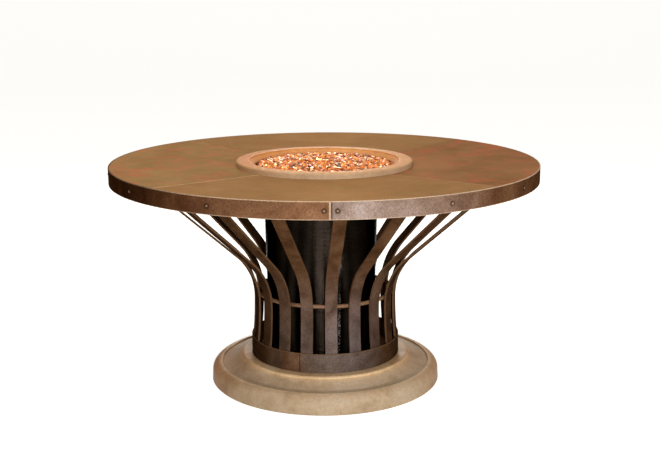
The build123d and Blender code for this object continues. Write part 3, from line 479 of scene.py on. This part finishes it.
def stained_panel(name, dark, mid, pale, red, redness, offset):
    """Cloudy stain with a red bloom, paler along the seams, most on the two in front. The offset
    gives each panel its own part of the clouds."""
    finish, tree, shader = new_finish(name)
    at = on_surface(tree, offset=offset)
    clouds = noise(tree, at, 4.2, 6, 0.62, 0.5)
    mottle = noise(tree, at, 24, 5, 0.65, 0.3)
    bloom = noise(tree, at, 13, 6, 0.68, 0.6)
    grain = noise(tree, at, 300, 4, 0.7)
    base = ramp(tree, clouds, (0.32, dark), (0.5, mid), (0.68, pale))
    base = blend_colour(tree, span(tree, bloom, 0.48, 0.64, 0.0, redness), base, (*red, 1))
    base = shaded(tree, base, 0.5, mottle, 0.32, 0.78, 0.66)
    base = shaded(tree, base, 0.4, grain, 0.36, 0.62, 0.62)
    x, y, _ = axes_of(tree, place_of(tree))
    apart = calc(tree, "SUBTRACT", calc(tree, "ABSOLUTE", x), calc(tree, "ABSOLUTE", y))
    patches = span(tree, mottle, 0.4, 0.6, 0.35, 1.0)
    lightened = calc(tree, "MULTIPLY", near(tree, apart, 0.0, seam_wear), patches)
    front_seams = span(tree, y, -0.05, 0.05, 1.0, 0.06)
    left_seams = span(tree, x, -0.05, 0.05, 0.75, 0.3)
    lightened = calc(tree, "MULTIPLY", lightened, calc(tree, "MULTIPLY", front_seams, left_seams))
    base = blend_colour(tree, lightened, base, (0.72, 0.5, 0.3, 1))
    tree.links.new(base, shader.inputs["Base Color"])
    tree.links.new(span(tree, mottle, 0.3, 0.7, 0.4, 0.52), shader.inputs["Roughness"])
    relief = bump(tree, grain, 0.0001, 0.35)
    tree.links.new(bump(tree, mottle, 0.0005, 0.2, relief), shader.inputs["Normal"])
    shader.inputs["Metallic"].default_value = panel_sheen
    shader.inputs["Specular IOR Level"].default_value = 0.0
    shader.inputs["Specular Tint"].default_value = panel_graze_tint
    return finish


panel_tones = {
    "front": (
        (0.325, 0.18, 0.078), (0.385, 0.213, 0.094), (0.43, 0.24, 0.108),
        (0.46, 0.195, 0.083), 0.3, (0, 0, 0),
    ),
    "left": (
        (0.325, 0.19, 0.083), (0.39, 0.23, 0.101), (0.45, 0.268, 0.12),
        (0.58, 0.19, 0.1), 0.6, (3, 1, 0),
    ),
    "right": (
        (0.28, 0.143, 0.066), (0.34, 0.173, 0.081), (0.4, 0.203, 0.097),
        (0.55, 0.155, 0.088), 0.65, (7, 2, 0),
    ),
    "rear": (
        (0.32, 0.178, 0.078), (0.38, 0.212, 0.094), (0.43, 0.24, 0.112),
        (0.44, 0.185, 0.09), 0.35, (1, 5, 0),
    ),
}
for side, tones in panel_tones.items():
    cover(stained_panel("stained_panel_" + side, *tones), "top_panel_" + side)


# The hoop is steel flat bar rolled round the top and butted at the front. Its face carries a brown
# patina, with painted shade round the sides, most at the left, and a painted grey sheen right of the
# joint. Its edges carry a painted highlight, dim at the left, and domed screws hold it to the board's rim.
band_low, band_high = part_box("edge_band")
band_radius = band_high[0]
band_joint_angle = radians(1.4 - 90)
# The left-hand end at the joint carries a painted highlight.
bright_end_angle = band_joint_angle - 0.0024 / band_radius
bright_end_reach = 0.0036 / band_radius
dark_end_offset = 0.0022 / band_radius
dark_end_reach = 0.0024 / band_radius
highlight_depth = 0.0026
band_screw_offset = radians(1.5)
band_screw_pitch = radians(357 / 13)
band_screw_height = band_high[2] - 0.026
# A dark tone for the joint's right-hand end and for the painted shadow round the screws.
band_dark_tone = (0.2, 0.16, 0.14, 1)


def edge_highlight_share(tree):
    """A painted highlight on the hoop's top and bottom edges, dimmed at the left, and on the left-hand end
    at its joint.
    """
    height = height_of(tree)
    upper = span(tree, height, band_high[2] - highlight_depth, band_high[2] - 0.5 * highlight_depth, 0.0, 1.0)
    lower = span(tree, height, band_low[2] + 0.5 * highlight_depth, band_low[2] + highlight_depth, 0.9, 0.0)
    highlight_round = by_angle(
        tree, (-180, grey(0.6)), (-95, grey(0.1)), (-48, grey(0.25)), (-26, grey(0.9)), (90, grey(1.0)),
        (180, grey(0.6)),
    )
    edges = calc(tree, "MULTIPLY", calc(tree, "MAXIMUM", upper, lower), highlight_round)
    end = near(tree, angle_of(tree), bright_end_angle, bright_end_reach)
    return calc(tree, "MAXIMUM", edges, calc(tree, "MULTIPLY", end, 0.8))


def band_shade_and_sheen(tree):
    """Painted shade round the two sides, most at the left, a painted grey sheen right of the joint, a dark
    line on the joint's right-hand end, and painted shadow round the screws."""
    angle = calc(tree, "SUBTRACT", angle_of(tree), band_joint_angle)
    # Painted shade round the sides, most at the left.
    sides = by_angle(
        tree, (-180, (0.95, 0.92, 0.88)), (-125, (0.8, 0.75, 0.7)), (-90, (0.3, 0.2, 0.13)),
        (-76, (0.25, 0.18, 0.12)), (-50, (0.17, 0.13, 0.1)), (-36, (0.45, 0.38, 0.33)),
        (-18, grey(0.85)), (2, grey(0.95)), (40, (0.62, 0.6, 0.56)), (75, (0.38, 0.32, 0.26)),
        (92, (0.26, 0.2, 0.16)), (125, (0.8, 0.75, 0.7)), (180, (0.95, 0.92, 0.88)),
    )
    # A painted grey sheen right of the joint, fading to the right.
    after = span(tree, angle, 0.0, 0.002, 0.0, 1.0)
    fade = span(tree, angle, 0.0, 0.75, 1.0, 0.0)
    tint = blend_colour(tree, calc(tree, "MULTIPLY", after, fade), sides, (1.3, 2.0, 3.3, 1))
    end = near(tree, angle, dark_end_offset, dark_end_reach)
    tint = blend_colour(tree, calc(tree, "MULTIPLY", end, 0.8), tint, band_dark_tone)
    # A painted shadow round each screw.
    turns = calc(tree, "FLOORED_MODULO", angle, tau)
    steps = calc(tree, "DIVIDE", calc(tree, "SUBTRACT", turns, band_screw_offset), band_screw_pitch)
    past = calc(tree, "SUBTRACT", steps, calc(tree, "ROUND", steps))
    along = calc(tree, "MULTIPLY", past, band_screw_pitch * band_radius)
    up = calc(tree, "SUBTRACT", height_of(tree), band_screw_height)
    apart = wire(tree, "CombineXYZ", {"X": along, "Y": up}).outputs[0]
    apart = wire(tree, "VectorMath", {0: apart}, operation="LENGTH").outputs["Value"]
    return blend_colour(tree, span(tree, apart, 0.006, 0.0095, 0.75, 0.0), tint, band_dark_tone)


def dome_highlight_and_shade(tree):
    """A painted highlight on a domed head's top, and painted shade round its foot."""
    return by_radius(
        tree, (band_radius, grey(0.16)), (band_radius + 0.0014, grey(0.2)),
        (band_radius + 0.0023, grey(1.0)), (band_radius + 0.0027, grey(1.0)),
    )


def no_share(tree):
    """The screws' edges aren't rubbed through."""
    return 0.0


patina_tones = ((0.22, 0.1, 0.05), (0.3, 0.145, 0.073), (0.38, 0.2, 0.11))
highlight_bronze = (0.76, 0.56, 0.39)
hoop_patina = bronze_coat(
    "hoop_patina", *patina_tones, highlight_bronze, edge_highlight_share, 210, (0.34, 0.5), band_shade_and_sheen, metal=0.1
)
cover(hoop_patina, "edge_band")
screw_tones = ((0.36, 0.22, 0.14), (0.45, 0.29, 0.2), (0.52, 0.36, 0.26))
screw_bronze = bronze_coat("screw_bronze", *screw_tones, copper, no_share, 400, (0.25, 0.32), dome_highlight_and_shade)
cover(screw_bronze, "band_screws")


# The fire bowl is cast in the same tan concrete as the foot, with a rounded rim that laps over the
# top. It hangs in the hole by that rim. Its inner lip carries a painted warm glow, and its rim's side
# face and two sides painted shade.
def bowl_painted_light(tree):
    """A painted warm glow on the inner lip, painted shade on the rim's side face, and warm painted shade at
    the two sides.
    """
    rings = by_radius(
        tree, (0.215, (0.7, 0.5, 0.36)), (0.236, (0.98, 0.7, 0.46)), (0.243, (0.85, 0.56, 0.27)),
        (0.276, (0.82, 0.54, 0.26)), (0.2805, (0.74, 0.64, 0.5)), (0.2834, (0.69, 0.69, 0.69)),
        (0.2836, (0.69, 0.71, 0.73)),
    )
    sides = by_angle(
        tree, (-180, (0.95, 0.87, 0.75)), (-70, (0.92, 0.76, 0.56)), (-20, grey(1.0)), (40, grey(1.0)),
        (100, (0.95, 0.87, 0.75)), (180, (0.95, 0.87, 0.75)),
    )
    return tinted(tree, rings, sides)


bowl_tones = ((0.72, 0.47, 0.28), (0.80, 0.53, 0.32), (0.86, 0.59, 0.36))
cover(cast_concrete("bowl_concrete", *bowl_tones, bowl_painted_light, offset=(2, 4, 1)), "fire_bowl")


# The burner is a stainless ring with a cross tube on a stainless pan. A brass pipe with an elbow
# and a nut feeds it from below, and a ceramic spark electrode stands beside it. The gas valve and
# the inlet are brass too.
stainless = bare_metal("stainless", (0.45, 0.44, 0.42), (0.62, 0.61, 0.58), 0.24)
brass = bare_metal("brass", (0.5, 0.33, 0.12), (0.72, 0.52, 0.22), 0.26)
cover(stainless, "burner_pan", "burner_ring", "valve_stem")
cover(brass, "burner_feed", "burner_nut", "gas_valve", "inlet_fitting")
porcelain, tree, shader = new_finish("electrode_porcelain")
glaze = noise(tree, on_surface(tree), 220, 4)
face = ramp(tree, glaze, (0.3, (0.72, 0.69, 0.62)), (0.7, (0.86, 0.84, 0.79)))
tree.links.new(face, shader.inputs["Base Color"])
tree.links.new(span(tree, glaze, 0.3, 0.7, 0.12, 0.25), shader.inputs["Roughness"])
cover(porcelain, "spark_electrode")


# The fire glass is tempered plate with a copper-mirror back, crushed to pieces of about 15 to 27 mm
# and tumbled. It lies loose on the pan and is heaped over the burner, a little higher in the middle.
glass_low, glass_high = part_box("fire_glass")
bed_radius = glass_high[0] - 0.006
bed_crown = 0.012
bed_edge_height = glass_high[2] - bed_crown
chip_count = 1250
chip_kinds = 9
chip_half_width = (0.0075, 0.0135)
chip_corner_reach = (0.72, 1.18)
chip_flatness = 0.68
chip_tilt = 0.7
# A chip's middle lies this many half widths, and up to the settling more, below the bed's surface.
chip_sink = 1.02
chip_settling = 0.003
chip_random = np.random.default_rng(12)


def bed_height(radius):
    return bed_edge_height + bed_crown * (1 - (radius / bed_radius) ** 2)


def crushed_chip(random):
    """One tumbled splinter, a slightly flat ball with twelve uneven corners, as corners and faces."""
    chip = bmesh.new()
    bmesh.ops.create_icosphere(chip, subdivisions=1, radius=1)
    for corner in chip.verts:
        corner.co *= random.uniform(*chip_corner_reach)
        corner.co.z *= chip_flatness
    hull = bmesh.ops.convex_hull(chip, input=chip.verts)
    inside = [part for part in hull["geom_interior"] if isinstance(part, bmesh.types.BMVert)]
    bmesh.ops.delete(chip, geom=inside, context="VERTS")
    bmesh.ops.triangulate(chip, faces=chip.faces)
    bmesh.ops.recalc_face_normals(chip, faces=chip.faces)
    chip.verts.index_update()
    corners = np.array([corner.co[:] for corner in chip.verts])
    faces = np.array([[corner.index for corner in face.verts] for face in chip.faces])
    chip.free()
    return corners, faces


def turned(random):
    """A random turn and tilt, as a matrix."""
    turn = Matrix.Rotation(random.uniform(0, tau), 3, "Z")
    tilt = Matrix.Rotation(random.normal(0, chip_tilt), 3, "X")
    return np.array(turn @ tilt @ Matrix.Rotation(random.uniform(0, tau), 3, "Z"))


kinds = [crushed_chip(chip_random) for _ in range(chip_kinds)]
golden_turn = pi * (3 - sqrt(5))
all_corners = []
all_faces = []
used = 0
for number in range(chip_count):
    corners, faces = kinds[number % chip_kinds]
    size = chip_random.uniform(*chip_half_width)
    out = (bed_radius - size) * sqrt((number + 0.5) / chip_count)
    turn = number * golden_turn + chip_random.normal(0, 0.02)
    lift = bed_height(out) - chip_sink * size - chip_random.uniform(0.0, chip_settling)
    middle = np.array((out * cos(turn), out * sin(turn), lift))
    all_corners.append(corners * size @ turned(chip_random).T + middle)
    all_faces.append(faces + used)
    used += len(corners)

# Under the chips, one closed body fills the bed down to the pan.
bed_rings = 10
bed_spokes = 64
bed_drop = 0.014
bed_margin = 0.002
bed_foot_share = 0.9
bed_corners = [(0, 0, bed_height(0) - bed_drop)]
for ring in range(1, bed_rings + 1):
    out = (bed_radius - bed_margin) * ring / bed_rings
    level = bed_height(out) - bed_drop
    angles = [tau * k / bed_spokes for k in range(bed_spokes)]
    bed_corners += [(out * cos(angle), out * sin(angle), level) for angle in angles]
bed_rim = bed_corners[-bed_spokes:]
bed_corners += [(x * bed_foot_share, y * bed_foot_share, glass_low[2]) for x, y, _ in bed_rim]
bed_faces = [(0, 1 + k, 1 + (k + 1) % bed_spokes) for k in range(bed_spokes)]
for ring in range(bed_rings):
    inner = 1 + ring * bed_spokes
    outer = inner + bed_spokes
    for k in range(bed_spokes):
        after = (k + 1) % bed_spokes
        bed_faces.append((inner + k, outer + k, outer + after))
        bed_faces.append((inner + k, outer + after, inner + after))
last = 1 + bed_rings * bed_spokes
bed_faces += [(last, last + k + 1, last + k) for k in range(1, bed_spokes - 1)]
all_corners.append(np.array(bed_corners))
all_faces.append(np.array(bed_faces) + used)

glass_mesh = bpy.data.meshes.new("fire_glass_chips")
glass_mesh.from_pydata(np.vstack(all_corners).tolist(), [], np.vstack(all_faces).tolist())
glass_chips = bpy.data.objects.new("fire_glass_chips", glass_mesh)
bpy.context.scene.collection.objects.link(glass_chips)

amber, tree, shader = new_finish("amber_glass")
each_chip = wire(tree, "NewGeometry").outputs["Random Per Island"]
shard = ramp(
    tree, each_chip,
    (0.0, (0.12, 0.025, 0.005)), (0.28, (0.36, 0.08, 0.01)), (0.55, (0.8, 0.19, 0.018)),
    (0.9, (0.93, 0.3, 0.035)), (0.99, (1.0, 0.72, 0.38)),
)
veins = noise(tree, on_surface(tree), 260, 3, 0.6)
shard = shaded(tree, shard, 0.6, veins, 0.3, 0.5, 0.7)
tree.links.new(shard, shader.inputs["Base Color"])
tree.links.new(span(tree, veins, 0.3, 0.7, 0.05, 0.16), shader.inputs["Roughness"])
shader.inputs["Metallic"].default_value = 0.7
shader.inputs["Coat Weight"].default_value = 0.14
shader.inputs["Coat Roughness"].default_value = 0.05
glass_mesh.materials.append(amber)
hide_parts("fire_glass")
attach(glass_chips, "table")


# The gas hoses are black rubber over braid, and the ignition lead is a red silicone sleeve. They
# run inside the table, from the inlet to the valve, from the valve to the burner, and from the
# igniter to the electrode.
def rubber(name, dark, pale, rib_scale):
    finish, tree, shader = new_finish(name)
    at = on_surface(tree)
    scuffs = noise(tree, at, 60, 4, 0.6)
    cloth = noise(tree, at, rib_scale, 2, 0.5)
    tree.links.new(ramp(tree, scuffs, (0.3, dark), (0.75, pale)), shader.inputs["Base Color"])
    tree.links.new(span(tree, scuffs, 0.3, 0.7, 0.45, 0.65), shader.inputs["Roughness"])
    tree.links.new(bump(tree, cloth, 0.0003, 0.6), shader.inputs["Normal"])
    return finish


cover(rubber("hose_rubber", grey(0.012), grey(0.04), 900), "gas_supply_hose", "burner_hose")
cover(rubber("lead_sleeve", (0.25, 0.02, 0.012), (0.42, 0.06, 0.035), 1200), "ignition_lead")


# The control knob and the igniter's housing are moulded black plastic with a fine grained face.
# The push button is glossy red plastic.
def moulded(name, dark, pale, roughness, grain_depth):
    finish, tree, shader = new_finish(name)
    at = on_surface(tree)
    grain = noise(tree, at, 1500, 2, 0.5)
    haze = noise(tree, at, 90, 4, 0.6)
    tree.links.new(ramp(tree, haze, (0.3, dark), (0.75, pale)), shader.inputs["Base Color"])
    tree.links.new(span(tree, haze, 0.3, 0.7, roughness, roughness + 0.12), shader.inputs["Roughness"])
    tree.links.new(bump(tree, grain, grain_depth, 0.5), shader.inputs["Normal"])
    return finish


cover(moulded("knob_plastic", grey(0.014), grey(0.03), 0.42, 0.0002), "control_knob", "igniter_housing")
cover(moulded("button_plastic", (0.38, 0.02, 0.012), (0.5, 0.04, 0.02), 0.16, 0.00003), "igniter_button")


# A pale studio: a wide white floor that runs back and curves up, a white surround, and soft boxes
# above, in front, behind, low behind and at the left, which the camera doesn't see.
floor_half_width = 14.0
floor_front = -9.0
floor_back = 10.0
sweep_radius = 3.0
wall_height = 9.0
floor_glow = 0.88
# The surround lights the table dimly and warmly, and is white where it is seen directly.
fill_tone = (1, 0.88, 0.7, 1)
fill_strength = 0.14
profile = [(floor_front, 0.0), (floor_back, 0.0)]
for degrees in range(6, 91, 6):
    swept = radians(degrees)
    profile.append((floor_back + sweep_radius * sin(swept), sweep_radius * (1 - cos(swept))))
profile.append((floor_back + sweep_radius, wall_height))
floor_mesh = bpy.data.meshes.new("studio_floor")
floor_corners = [(x, y, z) for y, z in profile for x in (-floor_half_width, floor_half_width)]
floor_faces = [(2 * k, 2 * k + 1, 2 * k + 3, 2 * k + 2) for k in range(len(profile) - 1)]
floor_mesh.from_pydata(floor_corners, [], floor_faces)
floor_mesh.shade_smooth()
studio_floor = bpy.data.objects.new("studio_floor", floor_mesh)
bpy.context.scene.collection.objects.link(studio_floor)


def seen_directly(tree):
    """1 for the rays that see the background itself, straight or in metal and glass."""
    paths = wire(tree, "LightPath")
    glints = calc(tree, "MAXIMUM", paths.outputs["Is Glossy Ray"], paths.outputs["Is Transmission Ray"])
    return calc(tree, "MAXIMUM", paths.outputs["Is Camera Ray"], glints)


floor_paint, tree, shader = new_finish("floor_paint")
shader.inputs["Base Color"].default_value = (0.65, 0.6, 0.52, 1)
shader.inputs["Roughness"].default_value = 0.9
shader.inputs["Specular IOR Level"].default_value = 0.1
shader.inputs["Emission Color"].default_value = (1, 1, 1, 1)
tree.links.new(calc(tree, "MULTIPLY", seen_directly(tree), floor_glow), shader.inputs["Emission Strength"])
floor_mesh.materials.append(floor_paint)


def soft_box(name, place, aim, width, height, power, colour=(1, 1, 1)):
    lamp = bpy.data.lights.new(name, "AREA")
    lamp.shape = "RECTANGLE"
    lamp.size = width
    lamp.size_y = height
    lamp.energy = power
    lamp.color = colour
    box = bpy.data.objects.new(name, lamp)
    box.location = place
    box.rotation_euler = (Vector(aim) - Vector(place)).to_track_quat("-Z", "Y").to_euler()
    box.visible_camera = False
    bpy.context.scene.collection.objects.link(box)


soft_box("overhead_box", (-0.5, -0.4, 3.6), (0, 0, 0.6), 3.2, 3.2, 76, (1.0, 0.96, 0.88))
soft_box("front_box", (0.7, -4.2, 1.3), (0, 0, 0.4), 1.1, 1.1, 112, (0.96, 0.98, 1.0))
soft_box("small_front_box", (2.7, -3.0, 1.7), (0, 0, 0.4), 0.14, 0.14, 20)
soft_box("back_box", (0.05, 4.2, 1.5), (0, 0, 0.5), 0.8, 1.8, 20, (1.0, 0.9, 0.76))
soft_box("low_rear_box", (0, 3.9, 0.5), (0, 0, 0.4), 1.4, 0.7, 40, (1.0, 0.97, 0.92))
soft_box("left_box", (-3.4, -1.0, 2.0), (0, 0, 0.5), 1.4, 2.0, 2)

surround = bpy.data.worlds.new("surround")
bpy.context.scene.world = surround
surround.use_nodes = True
tree = surround.node_tree
background = tree.nodes["Background"]
fill = blend_colour(tree, seen_directly(tree), fill_tone, (1, 1, 1, 1))
tree.links.new(fill, background.inputs["Color"])
strength = span(tree, seen_directly(tree), 0.0, 1.0, fill_strength, 1.0)
tree.links.new(strength, background.inputs["Strength"])
bpy.context.scene.view_settings.view_transform = "Standard"
